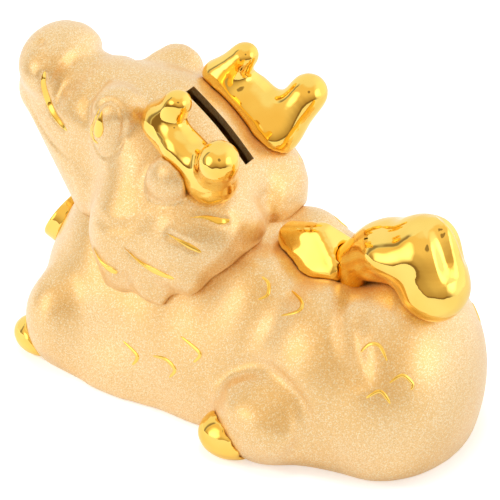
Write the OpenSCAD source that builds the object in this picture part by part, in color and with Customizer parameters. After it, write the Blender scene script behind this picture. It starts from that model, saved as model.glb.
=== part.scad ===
// Coin bank in the shape of a young dragon that lies on its belly with its head raised.
// It faces -Y, its left side is +X, and it stands on z = 0.
// Every casting is modelled as in clay: round masses are pressed together, their joins are
// smoothed, and the form is then cast hollow with an even wall.

/* [Body casting] */
// Length from the front of the chest to the end of the rump
body_len = 213; // [206:1:222]
// Width of the torso across the flanks
torso_w = 98; // [92:1:104]
// Height of the back above the table
back_h = 80; // [76:1:84]
// Width across the chest
chest_w = 90; // [84:1:96]
// Width across the rump
rump_w = 92; // [86:1:98]
// Height of the rump above the table
rump_h = 80; // [76:1:84]
// Thickness of the cast walls
wall = 3; // [2.6:0.1:3.6]

/* [Legs and paws] */
// Distance of the front legs from the middle
front_leg_x = 38; // [35:1:41]
// Radius of the front legs where they bulge from the chest
front_leg_r = 17; // [15:0.5:19]
// Distance of the rear legs from the middle
rear_leg_x = 44; // [41:1:47]
// Radius of the rear legs where they bulge from the flank
rear_leg_r = 18; // [16:0.5:20]
// Radius of the front paws
front_paw_r = 9.5; // [9:0.5:11]
// Radius of the rear paws
rear_paw_r = 12; // [11:0.5:13]

/* [Head casting] */
// Angle that the head is tipped back
head_pitch = 40; // [38:0.5:42]
// Width of the skull across the temples
skull_w = 72; // [68:1:76]
// Distance from the middle of the skull to the middle of the nose
snout_len = 69; // [65:1:73]
// Width across the nose
nose_w = 43; // [39:1:47]
// Width across the mane
mane_w = 94; // [90:1:98]

/* [Horns and ears] */
// Distance of the horns from the middle
horn_x = 22; // [21:0.5:24]
// Length of a horn's root along the crown
horn_len = 34; // [31:1:37]
// Radius of the knob on the front prong
front_knob_r = 5.9; // [5.3:0.1:6.5]
// Radius of the knob on the rear prong
rear_knob_r = 8.5; // [7.8:0.1:9.2]
// Width of an ear
ear_w = 20; // [18:0.5:22]

/* [Back fin and tail] */
// Length of the fin along the back
fin_len = 33; // [30:1:36]
// Width of the fin at its wide end
fin_w = 28; // [25:1:31]
// Height of the fin above the back
fin_h = 11; // [10:0.5:12]
// Radius of the tail at its root
tail_root_r = 8.5; // [8:0.5:9.5]
// Radius of the tail where it is fattest
tail_r = 15; // [14:0.5:16]

/* [Coin slot] */
// Length of the coin slot
slot_len = 40; // [37:1:42]
// Width of the coin slot
slot_w = 6.4; // [5.6:0.1:7]

/* [Medallion] */
// Diameter of the medallion on the chest
medallion_d = 28; // [26:1:30]
// Height of the medallion's rim above its face
medallion_rim = 1.2; // [0.8:0.1:1.6]

/* [Stopper] */
// Diameter of the coin hole in the base
hole_d = 30; // [27:1:33]
// Width of the stopper's flange around the hole
flange_w = 4; // [3:0.5:5]
// Thickness of the stopper's flange
flange_t = 2.2; // [1.8:0.1:2.6]
// How far the flange sits above the table
flange_lift = 0.8; // [0.6:0.1:1.2]
// Height of the plug above its flange
plug_h = 9; // [8:0.5:11]
// Thickness of the rubber
rubber_t = 2.4; // [2:0.1:3]

/* [Fit] */
// Gap left by the glaze between two castings
seat_gap = 0.35; // [0.3:0.01:0.45]
// Gap around the stopper
stopper_gap = 0.3; // [0.25:0.01:0.4]

/* [Hidden] */
frosted_gold = "wheat";
polished_gold = "gold";
rubber_black = "dimgray";

chest_y = -102;
rump_y = chest_y + body_len;
big = 400;

// ---------------------------------------------------------------- clay
// A round mass: centre, half sizes, how softly it joins, and its tilt nose-down and turn.
function clay(at, r, soft = 6, pitch = 0, yaw = 0) = let(
        cp = cos(pitch), sp = sin(pitch), cy = cos(yaw), sy = sin(yaw))
    [0, at, r, soft, [cy, sy, 0], [-sy * cp, cy * cp, sp], [sy * sp, -cy * sp, cp]];
// A tapered roll between two points.
function roll(a, b, ra, rb, soft = 6) = [1, a, [ra, rb], soft, b - a, (b - a) * (b - a)];

function gap_to_mass(p, m) = m[0] == 1
    ? let(t = max(0, min(1, (p - m[1]) * m[4] / m[5]))) norm(p - m[1] - t * m[4]) - m[2][0] - t * (m[2][1] - m[2][0])
    : let(d = p - m[1], q = [d * m[4] / m[2].x, d * m[5] / m[2].y, d * m[6] / m[2].z], k = norm(q),
          g = norm([q.x / m[2].x, q.y / m[2].y, q.z / m[2].z]))
      g < 1e-6 ? -min(m[2]) : k * (k - 1) / g;
function soft_min(a, b, s) = let(h = max(s - abs(a - b), 0)) min(a, b) - h * h / (4 * s);
function gap_to(p, form, i = 0, d = 1e3) = i == len(form) ? d
    : gap_to(p, form, i + 1, soft_min(d, gap_to_mass(p, form[i]), form[i][3]));

// How far along a ray the form's surface lies, found from outside. `grow` moves it outwards.
// A form that is alike on both sides is given as its left half.
function reach(o, dir, form, grow, both, t, n = 11) = n == 0 ? max(t, 0.5)
    : let(p = o + t * dir, q = both ? [abs(p.x), p.y, p.z] : p)
        reach(o, dir, form, grow, both, t - gap_to(q, form) + grow, n - 1);

// A ring of rays: its origin, the axis that it goes round, its angle from that axis and its side.
function ray(ring, turn) = let(lift = cross(ring[1], ring[3]), l = lift / norm(lift), s = cross(l, ring[1]))
    cos(ring[2]) * ring[1] + sin(ring[2]) * (cos(turn) * s + sin(turn) * l);
function unit(v) = v / norm(v);
across = [1, 0, 0];
// Rings that close the near end and the far end of a form.
function near_cap(o, axis, n, side = across) = [for (i = [1:n]) [o, axis, 180 - 90 * i / n, side]];
function far_cap(o, axis, n, side = across) = [for (i = [1:n - 1]) [o, axis, 90 - 90 * i / n, side]];
// Rings along a straight core from a to b.
function core(a, b, step, cap) = let(n = ceil(norm(b - a) / step), axis = unit(b - a)) concat(
    near_cap(a, axis, cap),
    [for (i = [1:n]) [a + (b - a) * i / n, axis, 90, across]],
    far_cap(b, axis, cap));
// Rings that fan about a hinge in the plane of u and v, from angle 0 to `sweep`. Their origins lie
// r from the hinge, and `dip` further halfway.
function fan_core(hinge, u, v, r, sweep, n, cap, dip = 0) = let(side = cross(u, v),
        at = function(f) hinge + (r + dip * pow(sin(180 * f / sweep), 2)) * (cos(f) * u + sin(f) * v),
        axis = function(f) cos(f) * v - sin(f) * u) concat(
    near_cap(at(0), axis(0), cap, side),
    [for (i = [1:n]) [at(sweep * i / n), axis(sweep * i / n), 90, side]],
    far_cap(at(sweep), axis(sweep), cap, side));

// The four-cornered faces of a skin are split one way on its left and the other way on its right,
// so that a form that is alike on both sides gets a skin that is.
function split(k, sides) = abs((k % sides + sides) % sides + 0.5 - sides / 2) > sides / 4;
// Where a ray of a ring meets the form.
function meet(ring, turn, form, grow, both, far) = let(dir = ray(ring, turn))
    ring[0] + reach(ring[0], dir, form, grow, both, far) * dir;

// The skin of a form, sampled by rings of rays and closed at both ends.
module skin(form, rings, sides, grow = 0, both = false, far = 40) {
    a = rings[0];
    b = rings[len(rings) - 1];
    n = len(rings);
    last = n * sides + 1;
    points = concat([a[0] - reach(a[0], -a[1], form, grow, both, far) * a[1]],
        [for (r = rings, k = [0:sides - 1]) meet(r, 360 * k / sides, form, grow, both, far)],
        [b[0] + reach(b[0], b[1], form, grow, both, far) * b[1]]);
    polyhedron(points, concat(
        [for (k = [0:sides - 1]) [0, 1 + k, 1 + (k + 1) % sides]],
        [for (i = [0:n - 2], k = [0:sides - 1]) let(p = 1 + i * sides + k, q = 1 + i * sides + (k + 1) % sides)
            each split(k, sides) ? [[p, p + sides, q + sides], [p, q + sides, q]]
                : [[p, p + sides, q], [p + sides, q + sides, q]]],
        [for (k = [0:sides - 1]) let(p = 1 + (n - 1) * sides + k, q = 1 + (n - 1) * sides + (k + 1) % sides)
            [p, last, q]]));
}

// How far a ring's rays pass from a point, and the side on which they pass it.
function miss(ring, p) = let(d = p - ring[0]) abs(acos(unit(d) * ring[1]) - ring[2]) * norm(d);
function side_of(ring, p) = let(d = p - ring[0], l = unit(cross(ring[1], ring[3])), s = cross(l, ring[1]))
    atan2(d * l, d * s);

// The patch of that skin round a point, `reach_a` rings and `reach_k` sides each way, with a plain
// back `depth` below it. A piece that is bedded on a casting is cut by this patch of it.
module skin_patch(p, reach_a, reach_k, depth, form, rings, sides, grow = 0, both = false, far = 40) {
    misses = [for (r = rings) miss(r, p)];
    mid = search(min(misses), misses)[0];
    lo = max(0, mid - reach_a);
    hi = min(len(rings) - 1, mid + reach_a);
    k0 = round(side_of(rings[mid], p) * sides / 360) - reach_k;
    w = 2 * reach_k + 1;
    n = hi - lo + 1;
    face = [for (i = [lo:hi], k = [0:w - 1]) meet(rings[i], 360 * (k0 + k) / sides, form, grow, both, far)];
    back = [for (i = [lo:hi], k = [0:w - 1]) let(q = face[(i - lo) * w + k], o = rings[i][0])
        q + (o - q) * min(0.9, depth / norm(o - q))];
    under = n * w;
    edge = concat([for (k = [0:w - 1]) k], [for (i = [1:n - 1]) i * w + w - 1],
        [for (k = [w - 2:-1:0]) (n - 1) * w + k], [for (i = [n - 2:-1:1]) i * w]);
    polyhedron(concat(face, back), concat(
        [for (i = [0:n - 2], k = [0:w - 2]) let(a = i * w + k, b = a + w, c = b + 1, d = a + 1,
                up = split(k0 + k, sides) ? [[a, b, c], [a, c, d]] : [[a, b, d], [b, c, d]])
            each concat(up, [for (f = up) [f[0] + under, f[2] + under, f[1] + under]])],
        [for (e = [0:len(edge) - 1]) let(p = edge[e], q = edge[(e + 1) % len(edge)])
            each [[p, q, q + under], [p, q + under, p + under]]]));
}

// ---------------------------------------------------------------- body
front_leg = [front_leg_x, chest_y + 26, 22];
rear_leg = [rear_leg_x, 37, 17];
body_form = [
    clay([0, -4, 16], [torso_w / 2, 60, back_h - 16], 10),
    clay([0, chest_y + 46, 26], [chest_w / 2, 46, 50], 14),
    clay([0, chest_y + 41, 60], [chest_w * 0.33, 27, 20], 10),
    clay([0, chest_y + 58, 5], [torso_w / 2 + 2, 54, 36], 8),
    clay([rump_w / 4.6, 18, 33], [rump_w / 3.8, 28, rump_h - 32], 9),
    clay([rump_w / 4.6, 52, 26], [rump_w / 3.1, 38, rump_h - 30], 6),
    clay([0, rump_y - 34, 25], [rump_w / 2, 34, rump_h - 27], 4),
    clay(front_leg, [front_leg_r - 1, front_leg_r, front_leg_r + 8], 6),
    clay(rear_leg, [rear_leg_r, rear_leg_r + 5, rear_leg_r + 3], 5)
];
body_front = [0, chest_y + 40, 24];
body_back = [0, rump_y - 38, 32];
along = [0, 1, 0];
module body_skin(step, cap, sides, grow = 0)
    skin(body_form, core(body_front, body_back, step, cap), sides, grow, true, 95);
body_rings = core(body_front, body_back, 4.8, 8);
body_sides = 44;
module body_outside(grow = 0) skin(body_form, body_rings, body_sides, grow, true, 95);
module body_near(p, reach_a, reach_k, depth = 26)
    skin_patch(p, reach_a, reach_k, depth, body_form, body_rings, body_sides, seat_gap, true, 95);
module below(z) translate([-big / 2, -big / 2, z - big]) cube(big);

neck_c = [0, -13, 70];
neck_r = 24;
module neck_bore() translate(neck_c) rotate([20, 0, 0]) cylinder(r = neck_r, h = 60, center = true, $fn = 96);

// The coin hole opens into a collar on the base, and a step below it takes the stopper's flange.
hole_y = 10;
step_z = flange_lift + flange_t + stopper_gap;
collar_h = step_z + wall + 1;
module well() translate([0, hole_y, 0]) {
    translate([0, 0, -1]) cylinder(d = hole_d + 2 * (flange_w + stopper_gap), h = step_z + 1, $fn = 96);
    cylinder(d = hole_d, h = collar_h + 1, $fn = 96);
}

module body_shell() color(frosted_gold) difference() {
    body_outside();
    difference() {
        body_skin(8, 5, 28, -wall);
        below(wall);
        translate([0, hole_y, 0]) cylinder(d = hole_d + 2 * (flange_w + wall), h = collar_h, $fn = 96);
    }
    neck_bore();
    below(0);
    well();
}

// ---------------------------------------------------------------- head
// The head has axes of its own, tipped back by head_pitch about the middle of the skull.
skull_c = [0, -36, 98];
function head_at(x, y, z) = skull_c + [x, y * cos(head_pitch) + z * sin(head_pitch),
    z * cos(head_pitch) - y * sin(head_pitch)];
module on_head(x, y, z) translate(head_at(x, y, z)) rotate([-head_pitch, 0, 0]) children();
crown_z = 32;
nose_c = head_at(0, 1 - snout_len, -17);
chin = head_at(0, 6 - snout_len, -32);
chin_r = 15;
head_form = [
    clay(skull_c, [skull_w / 2, 42, crown_z], 8, -head_pitch),
    roll(head_at(0, -17, crown_z - 22), head_at(0, 19, crown_z - 22), 22, 22, 6),
    clay(head_at(0, -snout_len * 0.49, -7), [25, 35, 22], 10),
    roll(chin, head_at(0, -15, -28), chin_r, 29, 8),
    clay(nose_c, [nose_w / 2, 17, 17], 5),
    clay(head_at(22, -33, 14), [10, 12, 10], 5),
    clay(head_at(25, -27, 3), [7, 8, 12], 3),
    clay(head_at(mane_w / 2 - 17, 12, -19), [16, 22, 27], 8),
    clay(head_at(mane_w / 2 - 17, 26, 0), [16, 20, 26], 8),
    roll(head_at(mane_w / 2 - 18, 8, -26), head_at(mane_w / 2 - 14, 21, -37), 13, 10, 4),
    roll(head_at(mane_w / 2 - 18, 20, -14), head_at(mane_w / 2 - 12, 36, -24), 14, 9, 4),
    roll(head_at(mane_w / 2 - 18, 26, 2), head_at(mane_w / 2 - 13, 40, -5), 13, 9, 4),
    clay(head_at(20, 31, 13), [18, 16, 20], 8),
    clay(head_at(15, 38, 12), [20, 12, 14], 6)
];
nape_core = head_at(0, 6, -6);
nose_core = nose_c + [0, 5, -3];
module head_skin(step, cap, sides, grow = 0)
    skin(head_form, core(nape_core, nose_core, step, cap), sides, grow, true, 95);
head_rings = core(nape_core, nose_core, 4.2, 10);
head_sides = 48;
module head_outside(grow = 0) skin(head_form, head_rings, head_sides, grow, true, 95);
module head_near(p, reach_a, reach_k, depth = 22)
    skin_patch(p, reach_a, reach_k, depth, head_form, head_rings, head_sides, seat_gap, true, 95);
module head_shell() color(frosted_gold) difference() {
    head_outside();
    head_skin(8, 6, 24, -wall);
    body_near([0, -25, back_h], 13, 11, 42);
    on_head(0, 0, crown_z) cube([slot_w, slot_len, 30], center = true);
}

// ---------------------------------------------------------------- horns and ears
horn_front = head_at(horn_x, -horn_len * 0.5, 28);
horn_rear = head_at(horn_x + 2, horn_len * 0.5, 31);
front_knob = head_at(horn_x + 3, 0.5 - horn_len * 0.5, 46);
rear_knob = head_at(horn_x + 12, horn_len * 0.5 - 4, 52);
horn_form = [
    roll(horn_front, horn_rear, 7.5, 9.5, 4),
    clay(head_at(horn_x + 6, 0, 34), [8, 13, 8], 7, -head_pitch),
    roll(horn_front, front_knob, 7, front_knob_r, 6),
    roll(horn_rear, rear_knob, 9.5, rear_knob_r, 7)
];
module horn_skin(grow = 0) {
    hinge = (front_knob + rear_knob) / 2 + (front_knob - horn_front) * 0.1;
    u = unit(front_knob - hinge);
    w = (horn_front + horn_rear) / 2 - hinge;
    v = unit(w - (w * u) * u);
    sweep = atan2((rear_knob - hinge) * v, (rear_knob - hinge) * u);
    skin(horn_form, fan_core(hinge, u, v, 15, sweep, 14, 5, 9), 18, grow, far = 14.5);
}
module horn() color(polished_gold) difference() {
    horn_skin();
    head_near(head_at(horn_x, -2, 30), 8, 4);
}
module horn_left() horn();
module horn_right() mirror([1, 0, 0]) horn();

module ear() {
    root = head_at(34, 5, 21);
    color(frosted_gold) difference() {
        skin([clay(root, [ear_w / 3, ear_w / 2, 13], 4, -20)], core(root, root + along, 2, 5), 16);
        head_near(root, 4, 4);
        horn_skin(seat_gap);
    }
}
module ear_left() ear();
module ear_right() mirror([1, 0, 0]) ear();

// ---------------------------------------------------------------- fin and tail
module back_fin() {
    front = 16;
    back = front + fin_len;
    top = back_h + fin_h;
    corners = [[5, front + 3, top - 6], [4, back - 12, top], [fin_w / 2 - 4, back, top - 9],
        [6, front + 1, back_h - 14], [fin_w / 2, front + 15, back_h - 12], [fin_w / 2, back, back_h - 14]];
    color(polished_gold) difference() {
        hull() for (c = corners, side = [-1, 1]) translate([side * (c.x - 2), c.y, c.z - 2]) sphere(r = 2, $fn = 16);
        body_near([0, (front + back) / 2, back_h], 6, 5);
        tail_skin(seat_gap);
    }
}
tail_hinge = [0, 71, 70];
tail_form = [
    roll([0, 51, 77], [0, 66, 88], tail_root_r, tail_r - 3.5, 6),
    roll([0, 66, 88], [0, 85, 95], tail_r - 3.5, tail_r - 1.5, 7),
    roll([0, 86, 96], [2, 92, 82], tail_r - 1, tail_r + 0.5, 7),
    roll([0, 90, 102], [1, 93, 113], 10, 3, 5)
];
module tail_skin(grow = 0)
    skin(tail_form, fan_core(tail_hinge, unit([0, -19, 7]), unit([0, 7, 19]), 22, 140, 14, 6), 24, grow, far = 20);
module tail() color(polished_gold) difference() {
    tail_skin();
    body_near([0, 64, back_h], 8, 5);
}

// ---------------------------------------------------------------- paws
module paw(at, r, yaw) color(polished_gold) difference() {
    skin([clay(at, r, 4, 0, yaw)], core(at, at + along, 2, 5), 18);
    body_near(at, 5, 4, 32);
    below(0);
}
module paw_front_left() paw([front_leg_x + 1, chest_y + 13, front_paw_r - 1], [front_paw_r, front_paw_r + 3, front_paw_r], 0);
module paw_front_right() mirror([1, 0, 0]) paw_front_left();
module paw_rear_left() paw([rear_leg_x + 7, 26, rear_paw_r - 3], [rear_paw_r, rear_paw_r + 4, rear_paw_r], 30);
module paw_rear_right() mirror([1, 0, 0]) paw_rear_left();

// ---------------------------------------------------------------- medallion
// A coin-like disc with a raised rim, bedded on the curve of the chest.
module chest_medallion() color(polished_gold) difference() {
    translate([0, chest_y + 1.5, 50]) rotate([61, 0, 0]) rotate_extrude($fn = 96) polygon([
        [0, -12], [medallion_d / 2 - 1, -12], [medallion_d / 2, -1], [medallion_d / 2, medallion_rim - 0.4],
        [medallion_d / 2 - 0.4, medallion_rim], [medallion_d / 2 - 2, medallion_rim],
        [medallion_d / 2 - 2.6, 0], [0, 0]]);
    body_near([0, chest_y, 50], 3, 7);
}

// ---------------------------------------------------------------- stopper
// A rubber cup pushed up into the coin hole, with ribs that grip it and a tab to pull it out by.
module stopper() {
    r = hole_d / 2 - stopper_gap;
    top = flange_t + plug_h;
    bead = [for (z = [4:2.5:plug_h - 1]) each [[r - 0.6, z - 0.9], [r, z], [r - 0.6, z + 0.9]]];
    color(rubber_black) translate([0, hole_y, flange_lift]) {
        rotate_extrude($fn = 96) polygon(concat(
            [[hole_d / 2 + flange_w, 0], [hole_d / 2 + flange_w, flange_t], [r - 0.6, flange_t]], bead,
            [[r - 0.6, top - 1.5], [r - 2.1, top], [0, top], [0, top - rubber_t],
            [r - 0.6 - rubber_t, top - rubber_t], [r - 0.6 - rubber_t, 0]]));
        translate([0, 0, top / 2]) cube([rubber_t, 2 * r - 2 * rubber_t, top - 1], center = true);
    }
}

// The origin is below the middle between the chin and the rump.
module framed() translate([0, -(chin.y - chin_r + rump_y) / 2, 0]) children();

framed() body_shell();
framed() head_shell();
framed() horn_left();
framed() horn_right();
framed() ear_left();
framed() ear_right();
framed() back_fin();
framed() tail();
framed() paw_front_left();
framed() paw_front_right();
framed() paw_rear_left();
framed() paw_rear_right();
framed() chest_medallion();
framed() stopper();
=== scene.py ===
from math import cos, pi, radians, sin

import bmesh
import bpy
import numpy as np
from mathutils import Matrix, Vector
from mathutils.bvhtree import BVHTree


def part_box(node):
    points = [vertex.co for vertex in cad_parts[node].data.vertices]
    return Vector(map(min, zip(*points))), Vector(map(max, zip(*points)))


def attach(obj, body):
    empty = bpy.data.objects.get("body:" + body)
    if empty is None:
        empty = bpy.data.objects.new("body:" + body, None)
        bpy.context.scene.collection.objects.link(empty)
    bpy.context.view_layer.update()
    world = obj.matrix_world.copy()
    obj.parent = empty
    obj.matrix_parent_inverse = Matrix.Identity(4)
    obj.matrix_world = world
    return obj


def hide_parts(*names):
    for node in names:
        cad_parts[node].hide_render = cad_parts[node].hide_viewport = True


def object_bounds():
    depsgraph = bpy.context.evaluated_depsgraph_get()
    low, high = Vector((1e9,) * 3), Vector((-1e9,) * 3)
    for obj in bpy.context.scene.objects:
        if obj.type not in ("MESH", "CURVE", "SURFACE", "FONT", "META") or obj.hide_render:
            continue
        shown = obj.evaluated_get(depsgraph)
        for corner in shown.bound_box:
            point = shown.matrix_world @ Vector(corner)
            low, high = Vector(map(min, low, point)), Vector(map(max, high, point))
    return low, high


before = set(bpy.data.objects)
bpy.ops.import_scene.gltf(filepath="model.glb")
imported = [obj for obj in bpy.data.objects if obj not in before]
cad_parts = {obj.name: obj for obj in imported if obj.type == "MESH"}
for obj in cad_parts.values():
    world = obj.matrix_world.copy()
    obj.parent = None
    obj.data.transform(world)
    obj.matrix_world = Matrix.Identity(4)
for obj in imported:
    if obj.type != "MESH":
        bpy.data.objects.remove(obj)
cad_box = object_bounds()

MM = 0.001

# ------------------------------------------------------------------ image points
# slot_front lies a little below its place in the photograph, because the CAD has it there.
W = H = 500
IMAGE = {
    "left_edge": (14, None),
    "right_edge": (485, None),
    "top_edge": (None, 19),
    "bottom_edge": (None, 481),
    "slot_front": (187, 88),
    "slot_rear": (246, 160),
    "rear_knob": (217, 162),
    "pupil": (99, 124),
    "smile": (53, 101),
    "nape_mark": (209, 219),
    "mane_mark": (184, 242),
    "tuft_mark": (149, 263),
    "cheek_mark": (105, 260),
    "flank_marks": (161, 357),
    "back_marks": (280, 296),
    "rump_marks": (387, 374),
    "tail_fold": (443, 252),
    "haunch_crease": (350, 320),
    "leg": (262, 415),
    "medallion": (58, 218),
}

# ------------------------------------------------------------------ camera
AZIMUTH = 123.5
ELEVATION = 33
DISTANCE = 1.0
TARGET = Vector((0, 4.4, 65)) * MM
LENS = 165.6
SENSOR = 36


def make_camera():
    data = bpy.data.cameras.new("camera")
    data.lens = LENS
    data.sensor_width = SENSOR
    data.sensor_fit = "AUTO"
    data.clip_start = 0.01
    camera = bpy.data.objects.new("camera", data)
    bpy.context.scene.collection.objects.link(camera)
    turn = Matrix.Rotation(radians(AZIMUTH), 4, "Z") @ Matrix.Rotation(radians(90 - ELEVATION), 4, "X")
    away = turn @ Vector((0, 0, DISTANCE))
    camera.matrix_world = Matrix.Translation(TARGET + away) @ turn
    bpy.context.scene.camera = camera
    return camera


camera = make_camera()
eye_point = camera.matrix_world.translation.copy()
axes = camera.matrix_world.to_3x3()
FOCAL = max(W, H) * LENS / SENSOR
SIGHT = DISTANCE / FOCAL
# A ray that misses is searched from NEAREST on, in strides; both are shares of DISTANCE.
NEAREST, STRIDE, STRIDES = 0.85, 0.01, 31


def sight_line(name, right=0.0, up=0.0):
    """The ray through an image point, moved sideways by millimetres as the camera sees them."""
    x, y = IMAGE[name]
    x = x + right * MM / SIGHT
    y = y - up * MM / SIGHT
    shift = camera.data.shift_x, camera.data.shift_y
    long_side = max(W, H)
    ray = Vector((x - W / 2 + shift[0] * long_side, H / 2 - y + shift[1] * long_side,
                  -long_side * camera.data.lens / camera.data.sensor_width))
    return (axes @ ray).normalized()


def met(tree, name, right=0.0, up=0.0):
    """Where that ray meets a surface, and the surface's normal; a miss takes the place nearest the ray."""
    ray = sight_line(name, right, up)
    place, normal, _, _ = tree.ray_cast(eye_point, ray)
    if place is None:
        along = (eye_point + ray * DISTANCE * (NEAREST + STRIDE * i) for i in range(STRIDES))
        near = min((tree.find_nearest(spot) for spot in along), key=lambda found: found[3])
        place, normal = near[0], near[1]
    return place, normal


def seen_at(place):
    """Image x and y of a point."""
    local = axes.transposed() @ (place - eye_point)
    return W / 2 + FOCAL * local.x / -local.z, H / 2 - FOCAL * local.y / -local.z


# ------------------------------------------------------------------ shader maths
class Wire:
    """A node's output; arithmetic on it adds Math nodes."""

    def __init__(self, glaze, socket):
        self.glaze, self.socket = glaze, socket

    def math(self, operation, *values):
        return self.glaze.node("ShaderNodeMath", {"operation": operation}, dict(enumerate(values)))

    def __add__(self, other):
        return self.math("ADD", self, other)

    def __radd__(self, other):
        return self.math("ADD", other, self)

    def __rsub__(self, other):
        return self.math("SUBTRACT", other, self)

    def __mul__(self, other):
        return self.math("MULTIPLY", self, other)

    def __rmul__(self, other):
        return self.math("MULTIPLY", other, self)

    def between(self, low, high):
        """0 below low, 1 above high, and a smooth rise from one to the other."""
        return self.glaze.node("ShaderNodeMapRange", {"interpolation_type": "SMOOTHSTEP"},
                               {"Value": self, "From Min": low, "From Max": high})


class Glaze:
    """A material and the nodes that vary it."""

    def __init__(self, name, **look):
        self.material = bpy.data.materials.new(name)
        self.material.use_nodes = True
        self.tree = self.material.node_tree
        self.surface = self.tree.nodes["Principled BSDF"]
        for socket, value in look.items():
            self.surface.inputs[socket.replace("_", " ")].default_value = value

    def node(self, kind, settings=None, values=None, output=0):
        made = self.tree.nodes.new(kind)
        for key, value in (settings or {}).items():
            setattr(made, key, value)
        for key, value in (values or {}).items():
            socket = made.inputs[key]
            if isinstance(value, Wire):
                self.tree.links.new(value.socket, socket)
            else:
                socket.default_value = value
        return Wire(self, made.outputs[output])

    def place(self, per_mm):
        """Object coordinates in millimetres, times a scale."""
        spot = self.node("ShaderNodeTexCoord", output="Object")
        return self.node("ShaderNodeVectorMath", {"operation": "SCALE"}, {0: spot, "Scale": per_mm / MM})

    def noise(self, size, detail=2.0, roughness=0.5):
        """Soft noise whose blobs are about size millimetres across."""
        return self.node("ShaderNodeTexNoise", None, {
            "Vector": self.place(1 / size), "Scale": 1.0, "Detail": detail, "Roughness": roughness})

    def grains(self, size):
        """A different value from 0 to 1 for each grain of about size millimetres."""
        where = {"Vector": self.place(1 / size), "Scale": 1.0}
        cell = self.node("ShaderNodeTexVoronoi", None, where, "Color")
        return self.node("ShaderNodeSeparateColor", None, {0: cell})

    def mix(self, share, low, high):
        """The colour low where share is 0, and high where it is 1."""
        return self.node("ShaderNodeMix", {"data_type": "RGBA"}, {0: share, 6: low, 7: high}, 2)

    def feed(self, **inputs):
        for socket, wire in inputs.items():
            self.tree.links.new(wire.socket, self.surface.inputs[socket.replace("_", " ")])

    def bump(self, height, depth):
        """Relief of depth millimetres where height goes from 0 to 1."""
        self.feed(Normal=self.node("ShaderNodeBump", None, {
            "Height": height, "Distance": depth * MM, "Strength": 1.0}))


def colour(red, green, blue):
    return red, green, blue, 1.0


# ------------------------------------------------------------------ finishes
def frosted_gold():
    glaze = Glaze("frosted_gold", Metallic=0.8, Roughness=0.4, Coat_Weight=0.65, Coat_Roughness=0.32)
    sand = glaze.noise(0.4, 1, 0.6)
    grains = glaze.grains(0.4)
    cloud = glaze.noise(35, 1)
    ground = glaze.mix(cloud.between(0.35, 0.65), colour(0.95, 0.635, 0.265), colour(0.98, 0.70, 0.35))
    sanded = glaze.mix(sand.between(0.3, 0.6), colour(0.84, 0.53, 0.20), ground)
    dull = glaze.mix(0.5 * (1.0 - grains.between(0.0, 0.35)), sanded, colour(0.78, 0.50, 0.20))
    bright = glaze.mix(0.8 * grains.between(0.7, 1.0), dull, colour(1.0, 0.88, 0.62))
    glaze.feed(Base_Color=bright, Roughness=0.27 + 0.2 * sand)
    glaze.bump(sand * 0.5 + grains * 0.5, 0.07)
    return glaze.material


def polished_gold():
    glaze = Glaze("polished_gold", Metallic=1.0, Roughness=0.04)
    ripple = glaze.noise(14, 1)
    dust = glaze.noise(1.6, 3)
    tone = glaze.mix(ripple.between(0.3, 0.7), colour(0.97, 0.64, 0.13), colour(1.0, 0.71, 0.17))
    glaze.feed(Base_Color=tone, Roughness=0.03 + 0.03 * dust.between(0.45, 0.8))
    glaze.bump(ripple, 0.05)
    return glaze.material


def bare_clay():
    glaze = Glaze("bare_clay", Roughness=0.85)
    grit = glaze.noise(0.7, 3)
    stain = glaze.noise(12, 2)
    tone = glaze.mix(grit.between(0.35, 0.7), colour(0.50, 0.22, 0.15), colour(0.72, 0.36, 0.26))
    glaze.feed(Base_Color=glaze.mix(stain.between(0.4, 0.7), tone, colour(0.56, 0.27, 0.19)))
    glaze.bump(grit, 0.12)
    return glaze.material


def black_rubber():
    glaze = Glaze("black_rubber", Roughness=0.6)
    grit = glaze.noise(0.5, 2)
    scuff = glaze.noise(5, 3)
    tone = glaze.mix(scuff.between(0.5, 0.8), colour(0.022, 0.022, 0.024), colour(0.05, 0.05, 0.052))
    glaze.feed(Base_Color=tone, Roughness=0.5 + 0.2 * scuff)
    glaze.bump(grit, 0.05)
    return glaze.material


FROSTED, POLISHED, CLAY, RUBBER = frosted_gold(), polished_gold(), bare_clay(), black_rubber()


# ------------------------------------------------------------------ making pieces
WELD = 0.002 * MM  # corners closer than this are one
OFF_SKIN = 0.05  # how far off a face a look around starts, in millimetres
OUTWARD = 0.3  # least share of a look that goes away from its face
SHARP = radians(50)  # edges bent more than this stay crisp
TOWARDS = 0.65  # share of the way to the middle of the neighbours


def new_piece(name, form):
    """A piece from a bmesh, standing at the origin with its place in its mesh."""
    mesh = bpy.data.meshes.new(name)
    form.to_mesh(mesh)
    form.free()
    piece = bpy.data.objects.new(name, mesh)
    bpy.context.scene.collection.objects.link(piece)
    for face in mesh.polygons:
        face.use_smooth = True
    return piece


def apply_modifiers(piece):
    bpy.context.view_layer.update()
    made = bpy.data.meshes.new_from_object(piece.evaluated_get(bpy.context.evaluated_depsgraph_get()))
    old = piece.data
    piece.modifiers.clear()
    piece.data = made
    made.name = piece.name
    bpy.data.meshes.remove(old)
    for face in made.polygons:
        face.use_smooth = True


def carved(piece, cutter):
    """Cuts a closed form out of a piece."""
    tool = new_piece("cutter", cutter)
    cut = piece.modifiers.new("cut", "BOOLEAN")
    cut.operation = "DIFFERENCE"
    cut.solver = "MANIFOLD"
    cut.object = tool
    apply_modifiers(piece)
    bpy.data.objects.remove(tool)


def skin_of(*pieces):
    """A tree of the pieces' surfaces, for rays and nearest places."""
    points, faces = [], []
    for piece in pieces:
        start = len(points)
        points += [v.co.copy() for v in piece.data.vertices]
        faces += [[start + i for i in face.vertices] for face in piece.data.polygons]
    return BVHTree.FromPolygons(points, faces)


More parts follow.
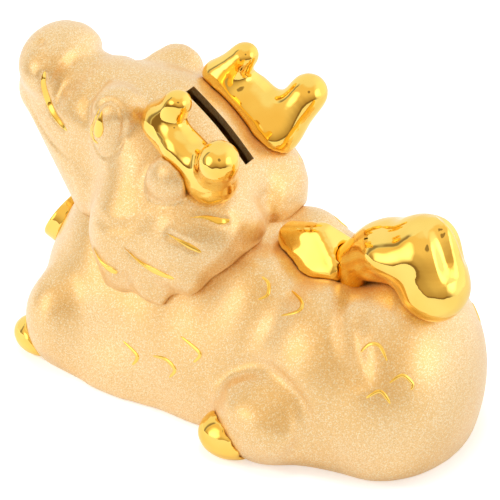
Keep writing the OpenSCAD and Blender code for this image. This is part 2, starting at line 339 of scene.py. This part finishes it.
def places(mesh):
    found = np.empty(len(mesh.vertices) * 3)
    mesh.vertices.foreach_get("co", found)
    return found.reshape(-1, 3)


def set_places(mesh, found):
    mesh.vertices.foreach_set("co", found.ravel())
    mesh.update()


def directions(mesh):
    found = np.empty(len(mesh.vertices) * 3)
    mesh.vertices.foreach_get("normal", found)
    return found.reshape(-1, 3)


def sponged(piece, rounds, back=0.68):
    """Rubs the CAD's facets away. Every place moves towards the middle of its neighbours and then back,
    which smooths small bumps and keeps the form's size. The less it goes back, the more it smooths."""
    mesh = piece.data
    spots = places(mesh)
    ends = np.empty(len(mesh.edges) * 2, int)
    mesh.edges.foreach_get("vertices", ends)
    here = np.concatenate((ends[0::2], ends[1::2]))
    there = np.concatenate((ends[1::2], ends[0::2]))
    count = np.maximum(np.bincount(here, minlength=len(spots)), 1)
    for share in [TOWARDS, -back] * rounds:
        middle = [np.bincount(here, weights=spots[there, k], minlength=len(spots)) / count for k in range(3)]
        spots += share * (np.stack(middle, 1) - spots)
    spots[:, 2] = np.maximum(spots[:, 2], 0)
    set_places(mesh, spots)


def cast(name, node, grain, rounds, plugs=(), swell=0.0, levels=0, back=0.68):
    """A smooth copy of a CAD node, remeshed at grain millimetres, with plugs joined on before."""
    form = bmesh.new()
    form.from_mesh(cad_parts[node].data)
    bmesh.ops.remove_doubles(form, verts=form.verts, dist=WELD)
    for plug in plugs:
        spare = bpy.data.meshes.new("plug")
        plug.to_mesh(spare)
        form.from_mesh(spare)
        bpy.data.meshes.remove(spare)
    piece = new_piece(name, form)
    clay = piece.modifiers.new("clay", "REMESH")
    clay.mode = "VOXEL"
    clay.voxel_size = grain * MM
    apply_modifiers(piece)
    sponged(piece, rounds, back)
    if levels:
        smooth = piece.modifiers.new("smooth", "SUBSURF")
        smooth.levels = smooth.render_levels = levels
        apply_modifiers(piece)
    spots = places(piece.data) + directions(piece.data) * swell * MM
    set_places(piece.data, np.clip(spots, cad_box[0], cad_box[1]))
    return piece


def line_through(stops, steps):
    """A smooth line of places through the stops."""
    stops = [Vector(stop) for stop in stops]
    found = []
    for i in range(steps + 1):
        at = i / steps * (len(stops) - 1)
        k = min(int(at), len(stops) - 2)
        a, b, c, d = (stops[max(k - 1, 0)], stops[k], stops[k + 1], stops[min(k + 2, len(stops) - 1)])
        t = at - k
        found.append(0.5 * (2 * b + (c - a) * t + (2 * a - 5 * b + 4 * c - d) * t * t
                            + (3 * b - a - 3 * c + d) * t * t * t))
    return found


def drawn(tree, name, *stops, steps=96):
    """A line on the skin, drawn through stops given in millimetres right of and above an image point."""
    flat = line_through([(right, up, 0) for right, up in stops], steps)
    return [met(tree, name, spot.x, spot.y)[0] for spot in flat]


def pressed(piece, line, reach, depth, fade=0.15):
    """Moves the skin in by depth millimetres (out if negative) within reach of a line and its mirror image.
    A hollow piece's inner face follows, so its wall keeps about the same thickness."""
    spots, out = places(piece.data), directions(piece.data)
    side = np.where(spots[:, :1] < 0, (-1, 1, 1), (1, 1, 1))
    near_side, near_out = spots * side, out * side
    low, high = np.min(line, 0) - reach * MM, np.max(line, 0) + reach * MM
    near = np.nonzero(np.all((near_side > low) & (near_side < high), 1))[0]
    away = np.linalg.norm(near_side[near, None] - np.array(line)[None], axis=2)
    outward = near_out[near][away.argmin(0)]
    closest = away.argmin(1)
    same_way = np.sign(np.einsum("ij,ij->i", near_out[near], outward[closest]))
    share = closest / max(len(line) - 1, 1)
    ends = np.clip(np.minimum(share, 1 - share) / fade, 0, 1) if fade else 1.0
    push = np.clip(1 - (away.min(1) / (reach * MM)) ** 2, 0, 1) ** 2 * ends * same_way
    spots[near] -= out[near] * (push * depth * MM)[:, None]
    set_places(piece.data, np.clip(spots, cad_box[0], cad_box[1]))


def mirrored(form):
    """Adds the mirror image of a form, with its faces turned right side out."""
    twin = bmesh.ops.duplicate(form, geom=form.verts[:] + form.edges[:] + form.faces[:])["geom"]
    verts = [part for part in twin if isinstance(part, bmesh.types.BMVert)]
    bmesh.ops.scale(form, verts=verts, vec=(-1, 1, 1))
    bmesh.ops.reverse_faces(form, faces=[part for part in twin if isinstance(part, bmesh.types.BMFace)])
    return form


def bead(form, tree, name, stops, width, height, shape):
    """Lays a long drop on the skin along stops near an image point. Stops and width are millimetres as the
    camera sees them, height is millimetres off the skin, and shape gives each place's share of the width."""
    steps = 48
    line = line_through([(right, up, 0) for right, up in stops], steps)
    for spot in bmesh.ops.create_uvsphere(form, u_segments=12, v_segments=28, radius=1)["verts"]:
        at = (1 - spot.co.z) / 2
        k = min(int(at * steps), steps - 1)
        ahead = (line[k + 1] - line[k]).normalized()
        middle = line[k].lerp(line[k + 1], at * steps - k)
        aside = spot.co.x * width / 2 * shape(at)
        ground, normal = met(tree, name, middle.x - ahead.y * aside, middle.y + ahead.x * aside)
        spot.co = ground + normal * spot.co.y * height * MM
    return form


def leaf(share):
    """Pointed at the start and blunt at the end."""
    return min(1.0, 1.6 * share)


def drop(share):
    """Like a leaf, with a slightly longer point."""
    return min(1.0, 1.5 * share)


def even(share):
    """As wide all along."""
    return 1.0


def finish(piece, body, node, slot, *materials):
    piece.data.materials.clear()
    for material in materials:
        piece.data.materials.append(material)
    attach(piece, body)
    if node:
        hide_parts(node)
    return piece


def lined(piece, index, *others):
    """Gives another material to the faces that see only their own piece or the others: the inside."""
    tree = skin_of(piece, *others)
    outlooks = [Vector((x, y, z)).normalized() for x in (-1, 0, 1) for y in (-1, 0, 1) for z in (-1, 0, 1)
                if (x, y, z) != (0, 0, 0)]
    for face in piece.data.polygons:
        start = face.center + face.normal * OFF_SKIN * MM
        ahead = [face.normal] + [way for way in outlooks if way.dot(face.normal) > OUTWARD]
        if all(tree.ray_cast(start, way)[0] is not None for way in ahead):
            face.material_index = index


# ------------------------------------------------------------------ body
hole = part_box("stopper")
hole_centre = (hole[0] + hole[1]) / 2
HOLE_R, FLANGE_R = 15 * MM, 19.3 * MM
STEP = 3.3 * MM  # height of the step that takes the stopper's flange


def disc(centre, radius, low, high):
    """A closed cylinder standing between two heights."""
    form = bmesh.new()
    middle = Vector((centre.x, centre.y, (low + high) / 2))
    bmesh.ops.create_cone(form, cap_ends=True, segments=96, radius1=radius, radius2=radius,
                          depth=high - low, matrix=Matrix.Translation(middle))
    return form


def ellipsoid(centre, radii):
    """A rounded lump, given in millimetres, that is joined on before a remesh to fill a hollow."""
    form = bmesh.new()
    bmesh.ops.create_uvsphere(form, u_segments=32, v_segments=16, radius=1)
    bmesh.ops.scale(form, verts=form.verts, vec=Vector(radii) * MM)
    bmesh.ops.translate(form, verts=form.verts, vec=Vector(centre) * MM)
    return form


def make_body():
    """The body's casting. The coin hole is filled for the remesh and bored again after it, and two lumps
    close thin places in the front of the wall from inside."""
    plug = disc(hole_centre, FLANGE_R + MM, 0, STEP + 4 * MM)
    nape = ellipsoid((0, 12, 73), (20, 8, 9))
    shoulders = [ellipsoid((side * 30, -83.5, 24), (7, 4, 7)) for side in (-1, 1)]
    piece = cast("body", "body_shell", 1.5, 420, [plug, nape, *shoulders], swell=0.25, back=0.654)
    sculpt_body(piece, skin_of(piece))
    carved(piece, disc(hole_centre, FLANGE_R, -5 * MM, STEP))
    carved(piece, disc(hole_centre, HOLE_R, 0, 20 * MM))
    piece.data.set_sharp_from_angle(angle=SHARP)
    return piece


def sculpt_body(piece, tree):
    """The crease in front of the haunch, and the rear leg with the furrow round it."""
    crease = drawn(tree, "haunch_crease", (1, 16), (-1, 0), (1.5, -14.5), (8, -30))
    pressed(piece, crease, 10, 3.2, 0.35)
    pressed(piece, crease, 5, 1.2, 0.3)
    pressed(piece, drawn(tree, "leg", (-8, 8), (8, -8)), 19, -1.5, 0)
    furrow = drawn(tree, "leg", (-18, 1), (-17.5, 14), (-11.5, 19), (-1.5, 20.5), (8.5, 14.5),
                   (16.5, 4), (18, -6), (15, -14), (8.5, -20))
    pressed(piece, furrow, 6.5, 1.7, 0.15)


body = make_body()
lined(body, 1)
finish(body, "bank", "body_shell", "frosted_gold", FROSTED, CLAY)

# ------------------------------------------------------------------ head
SLOT_LEN, SLOT_W = 40 * MM, 6.4 * MM
HEAD_PITCH = 40
TIPPED = Matrix.Rotation(radians(-HEAD_PITCH), 3, "X")
LEVELLED = Matrix.Rotation(radians(HEAD_PITCH), 3, "X")
SLACK = 0.1 * MM  # how exactly a face lies on a wall of the slot
skull = Vector((0, -31.6, 98)) * MM
# The eye's middle from the pupil's point, its half sizes and its lean, in millimetres as seen.
EYE_X, EYE_Y, EYE_HALF_W, EYE_HALF_H, EYE_LEAN = 3.7, -2, 7, 12.3, 0.8
# Lines of the face and the marks, as millimetres right of and above their image points.
MOUTH = [(-3.5, 13), (-4, 6.5), (0, -5), (6, -13)]
MANE_MARKS = {
    "nape_mark": [(-9, 0.5), (-2, 0.8), (5, -1), (9, -0.5)],
    "mane_mark": [(-8, 4), (0, -0.5), (7.5, -4.5)],
    "tuft_mark": [(-11, 7), (-4, 0.5), (3.5, -4), (11, -7)],
    "cheek_mark": [(-5, 5.5), (-1.5, -1), (3, -4.5), (5.5, -5.5)],
}
SCALE_MARKS = {
    "flank_marks": [[(-16.5, 7), (-11, 1.5), (-10.5, -1), (-12.5, -3.5)],
                    [(-3.5, 0.5), (2, -1), (6, -5.5), (3.5, -9)],
                    [(8.5, 9), (13.5, 5), (17, 1), (14, -2.5)]],
    "back_marks": [[(-8, 8.5), (-5, 5.5), (-5.5, 0.5), (-9.5, -1.5)],
                   [(5, 2.5), (9.5, -2.5), (8, -6.5), (0.5, -8.5)]],
    "rump_marks": [[(-11.5, 9.5), (-7.5, 13), (-3, 12), (0, 5.5)], [(-9, -10.5), (-3, -7.5), (1.5, -13)],
                   [(1, -4), (6.5, -0.5), (11, -4), (10.5, -7)]],
}


def on_head(x, y, z):
    """A place in the head's own axes, in millimetres from the middle of the skull."""
    return skull + TIPPED @ Vector((x, y, z)) * MM


def slot_block(length, width, low, high):
    """A block in the slot's place, between two heights above the middle of the skull in millimetres."""
    form = bmesh.new()
    bmesh.ops.create_cube(form, size=1)
    bmesh.ops.scale(form, verts=form.verts, vec=(width, length, (high - low) * MM))
    bmesh.ops.rotate(form, verts=form.verts, matrix=TIPPED)
    bmesh.ops.translate(form, verts=form.verts, vec=on_head(0, 0, (low + high) / 2))
    return form


def clay_in_slot(piece, index):
    """Gives the slot's walls another material, and not the crown beside it."""
    for face in piece.data.polygons:
        if abs(face.center.x) >= SLOT_W / 2 + SLACK:
            continue
        spot = LEVELLED @ (face.center - skull)
        on_wall = abs(abs(spot.x) - SLOT_W / 2) < SLACK or abs(abs(spot.y) - SLOT_LEN / 2) < SLACK
        in_crown = face.center.z > 100 * MM and spot.z < 60 * MM and abs(spot.y) < SLOT_LEN / 2 + SLACK
        upright = abs(face.normal.z) < 0.95 and abs((LEVELLED @ face.normal).z) < 0.3
        if on_wall and in_crown and upright:
            face.material_index = index


def slot_plug():
    """Fills the coin slot for the remesh, level with the crown on both sides."""
    form = slot_block(SLOT_LEN + 0.8 * MM, SLOT_W + 0.8 * MM, 29, 31)
    up = (on_head(0, 0, 1) - skull).normalized()
    tree = BVHTree.FromObject(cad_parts["head_shell"], bpy.context.evaluated_depsgraph_get())
    long_edges = [edge for edge in form.edges if abs(edge.verts[0].co.y - edge.verts[1].co.y) > 10 * MM]
    bmesh.ops.subdivide_edges(form, edges=long_edges, cuts=15, use_grid_fill=True)
    for spot in form.verts:
        beside = Vector((SLOT_W * 0.75, spot.co.y, spot.co.z))
        level = tree.ray_cast(beside + up * 40 * MM, -up)[0]
        top = (spot.co - on_head(0, 0, 30)).dot(up) > 0
        spot.co += up * ((level - beside).dot(up) - (0.05 if top else 2.2) * MM)
    return form


def make_head():
    """The head's casting with the ears joined on. The slot is filled for the remesh and cut after it."""
    form = bmesh.new()
    for side in ("left", "right"):
        form.from_mesh(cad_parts["ear_" + side].data)
    piece = cast("head", "head_shell", 1.0, 220, [slot_plug(), form], swell=0.25, back=0.67)
    carve_face(piece, skin_of(piece))
    carved(piece, slot_block(SLOT_LEN, SLOT_W, 15, 45))
    piece.data.set_sharp_from_angle(angle=SHARP)
    return piece


def carve_face(piece, tree):
    """The mound of the eye and the furrow round it, the mouth, the nostrils, and the furrows elsewhere."""
    rim = [(EYE_X + EYE_HALF_W * cos(turn) + EYE_LEAN * sin(turn), EYE_Y + EYE_HALF_H * sin(turn))
           for turn in (2 * pi * i / 24 for i in range(25))]
    pressed(piece, [met(tree, "pupil", EYE_X, EYE_Y)[0]], 12, -1.2, 0)
    pressed(piece, drawn(tree, "pupil", *rim, steps=144), 2.0, 0.9, 0)
    pressed(piece, drawn(tree, "pupil", (6, 23), (0.5, 17.5), (-3, 10.5), (-6.5, 2.5)), 7, 1.6, 0.4)
    jaw = drawn(tree, "pupil", (-4.5, -30), (-0.5, -41), (9.5, -45.5), (21, -41), (25.5, -33))
    pressed(piece, jaw, 5, 0.5, 0.3)
    pressed(piece, drawn(tree, "smile", *MOUTH), 3.0, 1.3)
    pressed(piece, drawn(tree, "smile", (13, 24), (9.5, 18.5), (3.5, 11), (2.5, 3), (4, -3)), 5, 1.0, 0.3)
    lip = drawn(tree, "smile", (-12, 4), (-8.5, -5), (-4.5, -12.5), (1, -19.5), (7.5, -25.5))
    pressed(piece, lip, 3, 0.9, 0.3)
    nape = drawn(tree, "nape_mark", (17.5, 18.5), (21, 13.5), (23.5, 8.5), (27, 4), (30, -1))
    pressed(piece, nape, 9, 1.5, 0.5)
    pressed(piece, [met(tree, "smile", -5.5, 25.5)[0]], 3.2, 1.8, 0)
    for name, stops in MANE_MARKS.items():
        pressed(piece, drawn(tree, name, *stops), 3.2, 0.9)


head = make_head()
lined(head, 1, body)
clay_in_slot(head, 1)
finish(head, "bank", "head_shell", "frosted_gold", FROSTED, CLAY)
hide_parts("ear_left", "ear_right")


def gold_mark(name, anchor, stops, width, height, shape, tree):
    """A raised mark of polished gold on the near side, and its mirror image."""
    form = mirrored(bead(bmesh.new(), tree, anchor, stops, width, height, shape))
    return finish(new_piece(name, form), "bank", None, "polished_gold", POLISHED)


head_skin = skin_of(head)
body_skin = skin_of(body)
marks = {}
for name, stops in MANE_MARKS.items():
    broad = 3.2 if name == "nape_mark" else 2.4
    marks[name] = [gold_mark(name, name, stops, broad, 0.5, leaf, head_skin)]
marks["smile"] = [gold_mark("smile_line", "smile", MOUTH, 2.6, 0.5, even, head_skin)]
marks["pupil"] = [gold_mark("pupils", "pupil", [(1.5, 6), (0, 0), (-0.5, -6)], 5, 0.8, drop, head_skin)]
gold_mark("eye_crescents", "pupil", [(0.5, 7), (-3, -1), (-2.8, -6), (-0.5, -8.5)], 1.2, 0.4, even, head_skin)
for anchor, lines in SCALE_MARKS.items():
    marks[anchor] = [gold_mark(f"{anchor}_{number + 1}", anchor, stops, 1.7, 0.4, even, body_skin)
                     for number, stops in enumerate(lines)]

# ------------------------------------------------------------------ horns, paws, fin, tail, medallion
MEDALLION_FACE_R = 11.5 * MM  # inside the medallion's rim


def gilded(name, node, *casting, **more):
    """A casting in polished gold."""
    finish(cast(name, node, *casting, **more), "bank", node, "polished_gold", POLISHED)


def make_tail():
    """The tail, with its saddle and its foot filled for the remesh, and the fold of its tip."""
    middle, foot = ellipsoid((0, 80, 92), (17, 20, 12)), ellipsoid((0, 57.5, 73), (9, 7, 10))
    piece = cast("tail_cast", "tail", 1.6, 260, [middle, foot], swell=0.15, levels=2, back=0.657)
    pressed(piece, drawn(skin_of(piece), "tail_fold", (-3.5, 13.5), (-0.5, 3), (4, -13.5)), 5.5, 1.7, 0.25)
    sponged(piece, 8)
    return finish(piece, "bank", "tail", "polished_gold", POLISHED)


def make_medallion():
    """The medallion: a frosted face inside a polished rim."""
    piece = cast("medallion_cast", "chest_medallion", 0.5, 10, swell=0.1)
    finish(piece, "bank", "chest_medallion", "polished_gold", POLISHED, FROSTED)
    spots = places(piece.data)
    centre = spots.mean(0)
    axis = np.linalg.eigh(np.cov((spots - centre).T))[1][:, 0]
    axis = Vector(axis if axis[1] < 0 else -axis)
    for face in piece.data.polygons:
        if face.normal.dot(axis) > 0.8 and (face.center - Vector(centre)).length < MEDALLION_FACE_R:
            face.material_index = 1
    return piece


for side in ("left", "right"):
    gilded("horn_" + side + "_cast", "horn_" + side, 1.4, 200, swell=0.15, levels=2, back=0.662)
    for end in ("front", "rear"):
        node = "paw_" + end + "_" + side
        gilded(node + "_cast", node, 1.0, 40, swell=0.15, levels=1)
gilded("fin_cast", "back_fin", 1.4, 25, swell=0.15, levels=2)
tail = make_tail()
medallion = make_medallion()

stopper_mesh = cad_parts["stopper"]
stopper_mesh.data.materials.clear()
stopper_mesh.data.materials.append(RUBBER)


# ------------------------------------------------------------------ studio
FLOOR_DROP = 0.3 * MM  # how far the floor lies below the base
LAMP_AWAY, LAMP_SIZE = 1.3, 0.35  # in metres
LAMPS = (("window_right", 115, 0.3, 9), ("window_left", -75, 0.4, 7), ("window_top", 0, 1.4, 4))


def make_floor():
    """A pale floor that is clear from below and where it would touch the base."""
    form = bmesh.new()
    bmesh.ops.create_circle(form, cap_ends=True, segments=96, radius=0.5)
    bmesh.ops.translate(form, verts=form.verts, vec=(0, 0, -FLOOR_DROP))
    floor = new_piece("floor", form)
    glaze = Glaze("floor", Roughness=0.9, Base_Color=colour(0.86, 0.86, 0.86), Emission_Strength=1.0)
    direct = glaze.node("ShaderNodeLightPath", output="Is Camera Ray")
    mirror = glaze.node("ShaderNodeLightPath", output="Is Glossy Ray")
    glaze.feed(Emission_Color=0.45 * direct + 0.2 * mirror)
    clear = glaze.tree.nodes.new("ShaderNodeBsdfTransparent")
    shown = glaze.tree.nodes.new("ShaderNodeMixShader")
    below = glaze.node("ShaderNodeNewGeometry", output="Backfacing")
    touching = 1.0 - glaze.node("ShaderNodeLightPath", output="Ray Length").between(0.5 * MM, 0.8 * MM)
    through = glaze.node("ShaderNodeMath", {"operation": "MAXIMUM"}, {0: below, 1: touching})
    glaze.tree.links.new(through.socket, shown.inputs[0])
    glaze.tree.links.new(glaze.surface.outputs[0], shown.inputs[1])
    glaze.tree.links.new(clear.outputs[0], shown.inputs[2])
    glaze.tree.links.new(shown.outputs[0], glaze.tree.nodes["Material Output"].inputs["Surface"])
    floor.data.materials.append(glaze.material)


def seen_rays(tree):
    """1 for what the camera sees, also in a mirror or through glass, and 0 for light on the object."""
    path = tree.nodes.new("ShaderNodeLightPath")
    total = path.outputs["Is Camera Ray"]
    for name in ("Is Glossy Ray", "Is Transmission Ray"):
        larger = tree.nodes.new("ShaderNodeMath")
        larger.operation = "MAXIMUM"
        tree.links.new(total, larger.inputs[0])
        tree.links.new(path.outputs[name], larger.inputs[1])
        total = larger.outputs[0]
    return total


class Sky(Glaze):
    """The studio: a white sweep, with the dimmer room behind the camera that polished gold mirrors."""

    def __init__(self, name):
        self.world = bpy.data.worlds.new(name)
        self.world.use_nodes = True
        self.tree = self.world.node_tree


def make_world():
    sky = Sky("studio")
    bpy.context.scene.world = sky.world
    way = sky.node("ShaderNodeTexCoord", output="Generated")
    back = (eye_point - TARGET).normalized()
    level = Vector((back.x, back.y, 0)).normalized()

    def facing(direction):
        """How much a look goes in a direction, from -1 to 1."""
        return sky.node("ShaderNodeVectorMath", {"operation": "DOT_PRODUCT"}, {0: way, 1: direction}, "Value")

    height = facing(Vector((0, 0, 1)))
    across = axes.col[0]
    on_right = (level * 0.5 + across * 0.84 + Vector((0, 0, 0.25))).normalized()
    on_left = (level * 0.45 - across * 0.86 + Vector((0, 0, 0.2))).normalized()
    room = facing(level).between(-0.02, 0.02) * height.between(-0.32, -0.27)
    room = room * (1.0 - height.between(0.8, 0.95))
    rim = facing(level).between(-0.26, -0.1) * (1.0 - facing(level).between(-0.06, 0.02))
    rim = rim * height.between(-0.4, -0.3) * (1.0 - height.between(0.6, 0.8))
    skirting = facing(level).between(-0.02, 0.05) * (1.0 - height.between(-0.17, -0.1))
    glow = facing(on_right).between(0.92, 1.0) + 0.85 * facing(on_left).between(0.92, 1.0)
    window = facing((across - level * 0.15 + Vector((0, 0, 0.15))).normalized()).between(0.45, 0.9)
    lens = facing(back).between(0.985, 0.995)
    mirror = sky.node("ShaderNodeLightPath", output="Is Glossy Ray")
    wall = sky.mix(height.between(-0.3, 0.5), colour(0.42, 0.29, 0.15), colour(0.97, 0.78, 0.52))
    warm = sky.mix(room * mirror, colour(1, 1, 1), wall)
    dark = sky.mix(mirror * (0.8 * rim + 0.65 * skirting + 0.75 * lens), warm, colour(0.16, 0.10, 0.05))
    soft = sky.mix(mirror * window, dark, colour(1.25, 1.25, 1.25))
    lit = sky.mix(mirror * glow, soft, colour(2.3, 2.25, 2.1))
    total = seen_rays(sky.tree)
    shown = sky.tree.nodes.new("ShaderNodeMix")
    sky.tree.links.new(total, shown.inputs[0])
    shown.inputs[2].default_value = 0.62
    shown.inputs[3].default_value = 1.0
    background = sky.tree.nodes["Background"]
    sky.tree.links.new(lit.socket, background.inputs["Color"])
    sky.tree.links.new(shown.outputs[0], background.inputs["Strength"])


def softbox(name, place, power):
    """A soft lamp that looks at the bank and isn't seen in mirrors."""
    data = bpy.data.lights.new(name, "AREA")
    data.shape = "RECTANGLE"
    data.size = data.size_y = LAMP_SIZE
    data.energy = power
    lamp = bpy.data.objects.new(name, data)
    lamp.visible_glossy = False
    bpy.context.scene.collection.objects.link(lamp)
    turn = (place - TARGET).to_track_quat("Z", "Y").to_matrix().to_4x4()
    lamp.matrix_world = Matrix.Translation(place) @ turn


make_floor()
make_world()
right, up, back = axes.col[0], axes.col[1], axes.col[2]
for name, turn, lift, power in LAMPS:
    away = (back * cos(radians(turn)) + right * sin(radians(turn)) + up * lift).normalized() * LAMP_AWAY
    softbox(name, away + TARGET, power)
bpy.context.scene.view_settings.view_transform = "Standard"

# ------------------------------------------------------------------ what is measured
SAME_PLACE = 0.4 * MM  # a place within this of where its ray meets the bank is in view


def shown_middle(*pieces):
    """The middle of what the camera sees of the near side of some pieces."""
    seen = []
    for piece in pieces:
        for spot in piece.data.vertices:
            if spot.co.x > 0:
                ahead = (spot.co - eye_point).normalized()
                front = everything.ray_cast(eye_point, ahead)[0]
                if front and (front - spot.co).length < SAME_PLACE:
                    seen.append(seen_at(spot.co))
    low, high = np.min(seen, 0), np.max(seen, 0)
    return (low + high) / 2


standing = [thing for thing in bpy.context.scene.objects
            if thing.type == "MESH" and thing.name != "floor" and not thing.hide_render]
everything = skin_of(*standing)
outline = np.array([seen_at(spot.co) for thing in standing for spot in thing.data.vertices])
# The slot's ends and the knob are places of the CAD. The fold, the crease and the leg only test that the ray
# through their point meets the skin: their offsets are 0 whenever it does, and measure nothing more.
found = {
    "left_edge": (outline[:, 0].min(), None), "right_edge": (outline[:, 0].max(), None),
    "top_edge": (None, outline[:, 1].min()), "bottom_edge": (None, outline[:, 1].max()),
    "slot_front": seen_at(on_head(0, -20, 31)), "slot_rear": seen_at(on_head(0, 20, 31)),
    "rear_knob": seen_at(on_head(34, 13, 52)),
    "medallion": shown_middle(medallion),
    "tail_fold": seen_at(met(skin_of(tail), "tail_fold")[0]),
    "haunch_crease": seen_at(met(body_skin, "haunch_crease")[0]),
    "leg": seen_at(met(body_skin, "leg")[0]),
}
for name, pieces in marks.items():
    found[name] = shown_middle(*pieces)
({name: [None if want is None else round(float(got - want), 1) for got, want in zip(found[name], IMAGE[name])]
           for name in IMAGE})
